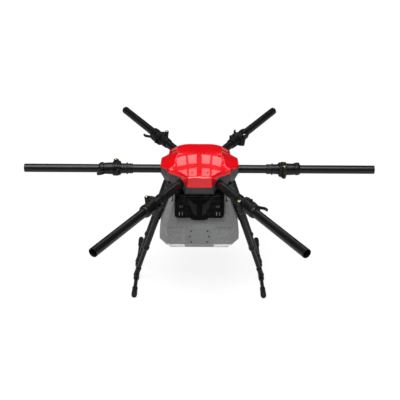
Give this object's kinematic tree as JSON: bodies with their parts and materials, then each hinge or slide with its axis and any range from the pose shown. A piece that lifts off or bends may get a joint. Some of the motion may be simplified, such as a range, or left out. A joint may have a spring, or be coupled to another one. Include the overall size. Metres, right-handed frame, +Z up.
{
  "type": "agricultural spray drone",
  "caption": "Multirotor spray drone airframe: folding tube arms with levered joints, moulded canopy, slide-in battery and liquid tank, skid landing gear.",
  "frame": {"origin": "on the ground at the middle of the overall box, under the centre of the six arms", "axes": "+Z up, nose (battery side) towards -Y, +X to the right arm as seen from the front"},
  "size_m": [1.65, 1.4486, 0.6515],
  "materials": {
    "carbon_tube": "satin twill carbon",
    "carbon_plate": "satin carbon plate",
    "joint_black": "moulded black, fine grain",
    "lever_black": "moulded black",
    "brass": "polished",
    "canopy_red": "high gloss",
    "shell_grey": "fine grain",
    "board": "solder mask",
    "tray_black": "satin",
    "battery_black": "satin with louvres",
    "tank_grey": "blow-moulded, slightly translucent look",
    "cap_black": "knurled",
    "leg_black": "satin carbon tube",
    "rubber": "matt"
  },
  "bodies": {
    "root": {"root_tube_right": "carbon_tube", "joint_base_right": "joint_black", "hinge_pin_right": "brass", "root_tube_rear_right": "carbon_tube", "joint_base_rear_right": "joint_black", "hinge_pin_rear_right": "brass", "root_tube_rear_left": "carbon_tube", "joint_base_rear_left": "joint_black", "hinge_pin_rear_left": "brass", "root_tube_left": "carbon_tube", "joint_base_left": "joint_black", "hinge_pin_left": "brass", "root_tube_front_left": "carbon_tube", "joint_base_front_left": "joint_black", "hinge_pin_front_left": "brass", "root_tube_front_right": "carbon_tube", "joint_base_front_right": "joint_black", "hinge_pin_front_right": "brass", "top_canopy": "canopy_red", "lower_shell": "shell_grey", "upper_plate": "carbon_plate", "lower_frame": "joint_black", "power_board": "board", "battery_tray": "tray_black", "leg_front_left": "leg_black", "skid_tee_front_left": "joint_black", "leg_front_right": "leg_black", "skid_tee_front_right": "joint_black", "leg_rear_left": "leg_black", "skid_tee_rear_left": "joint_black", "leg_rear_right": "leg_black", "skid_tee_rear_right": "joint_black", "skid_tube_left": "carbon_tube", "skid_cap_front_left": "rubber", "skid_cap_rear_left": "rubber", "skid_tube_right": "carbon_tube", "skid_cap_front_right": "rubber", "skid_cap_rear_right": "rubber"},
    "arm_right": {"joint_sleeve_right": "joint_black", "arm_tube_right": "carbon_tube"},
    "latch_right": {"latch_lever_right": "lever_black"},
    "arm_rear_right": {"joint_sleeve_rear_right": "joint_black", "arm_tube_rear_right": "carbon_tube"},
    "latch_rear_right": {"latch_lever_rear_right": "lever_black"},
    "arm_rear_left": {"joint_sleeve_rear_left": "joint_black", "arm_tube_rear_left": "carbon_tube"},
    "latch_rear_left": {"latch_lever_rear_left": "lever_black"},
    "arm_left": {"joint_sleeve_left": "joint_black", "arm_tube_left": "carbon_tube"},
    "latch_left": {"latch_lever_left": "lever_black"},
    "arm_front_left": {"joint_sleeve_front_left": "joint_black", "arm_tube_front_left": "carbon_tube"},
    "latch_front_left": {"latch_lever_front_left": "lever_black"},
    "arm_front_right": {"joint_sleeve_front_right": "joint_black", "arm_tube_front_right": "carbon_tube"},
    "latch_front_right": {"latch_lever_front_right": "lever_black"},
    "battery": {"battery_pack": "battery_black"},
    "tank": {"tank": "tank_grey"},
    "filler_cap": {"tank_cap": "cap_black", "cap_seal": "rubber"}
  },
  "joints": [
    {"name": "arm_fold_right", "type": "hinge", "parent": "root", "child": "arm_right", "pos_m": [0.397, -0.031, 0.57], "axis": [0, -0.1392, 0.9903], "range_deg": [-120, 0]},
    {"name": "arm_fold_rear_right", "type": "hinge", "parent": "root", "child": "arm_rear_right", "pos_m": [0.22535, 0.32831, 0.57], "axis": [0.1205, -0.0696, 0.9903], "range_deg": [-120, 0]},
    {"name": "arm_fold_rear_left", "type": "hinge", "parent": "root", "child": "arm_rear_left", "pos_m": [-0.17165, 0.35931, 0.57], "axis": [0.1205, 0.0696, 0.9903], "range_deg": [-120, 0]},
    {"name": "arm_fold_left", "type": "hinge", "parent": "root", "child": "arm_left", "pos_m": [-0.397, 0.031, 0.57], "axis": [0, 0.1392, 0.9903], "range_deg": [-120, 0]},
    {"name": "arm_fold_front_left", "type": "hinge", "parent": "root", "child": "arm_front_left", "pos_m": [-0.22535, -0.32831, 0.57], "axis": [-0.1205, 0.0696, 0.9903], "range_deg": [-120, 0]},
    {"name": "arm_fold_front_right", "type": "hinge", "parent": "root", "child": "arm_front_right", "pos_m": [0.17165, -0.35931, 0.57], "axis": [-0.1205, -0.0696, 0.9903], "range_deg": [-120, 0]},
    {"name": "latch_swing_right", "type": "hinge", "parent": "root", "child": "latch_right", "pos_m": [0.384, 0.036, 0.57], "axis": [0, 0, 1], "range_deg": [0, 95]},
    {"name": "latch_swing_rear_right", "type": "hinge", "parent": "root", "child": "latch_rear_right", "pos_m": [0.16082, 0.35055, 0.57], "axis": [0, 0, 1], "range_deg": [0, 95]},
    {"name": "latch_swing_rear_left", "type": "hinge", "parent": "root", "child": "latch_rear_left", "pos_m": [-0.22318, 0.31455, 0.57], "axis": [0, 0, 1], "range_deg": [0, 95]},
    {"name": "latch_swing_left", "type": "hinge", "parent": "root", "child": "latch_left", "pos_m": [-0.384, -0.036, 0.57], "axis": [0, 0, 1], "range_deg": [0, 95]},
    {"name": "latch_swing_front_left", "type": "hinge", "parent": "root", "child": "latch_front_left", "pos_m": [-0.16082, -0.35055, 0.57], "axis": [0, 0, 1], "range_deg": [0, 95]},
    {"name": "latch_swing_front_right", "type": "hinge", "parent": "root", "child": "latch_front_right", "pos_m": [0.22318, -0.31455, 0.57], "axis": [0, 0, 1], "range_deg": [0, 95]},
    {"name": "battery_pull", "type": "slide", "parent": "root", "child": "battery", "axis": [0, -1, 0], "range_m": [0, 0.155]},
    {"name": "tank_pull", "type": "slide", "parent": "root", "child": "tank", "axis": [0, 1, 0], "range_m": [0, 0.225]},
    {"name": "cap_turn", "type": "hinge", "parent": "tank", "child": "filler_cap", "pos_m": [0, 0.124, 0.409], "axis": [0, 0, 1], "range_deg": [0, 90]}
  ]
}
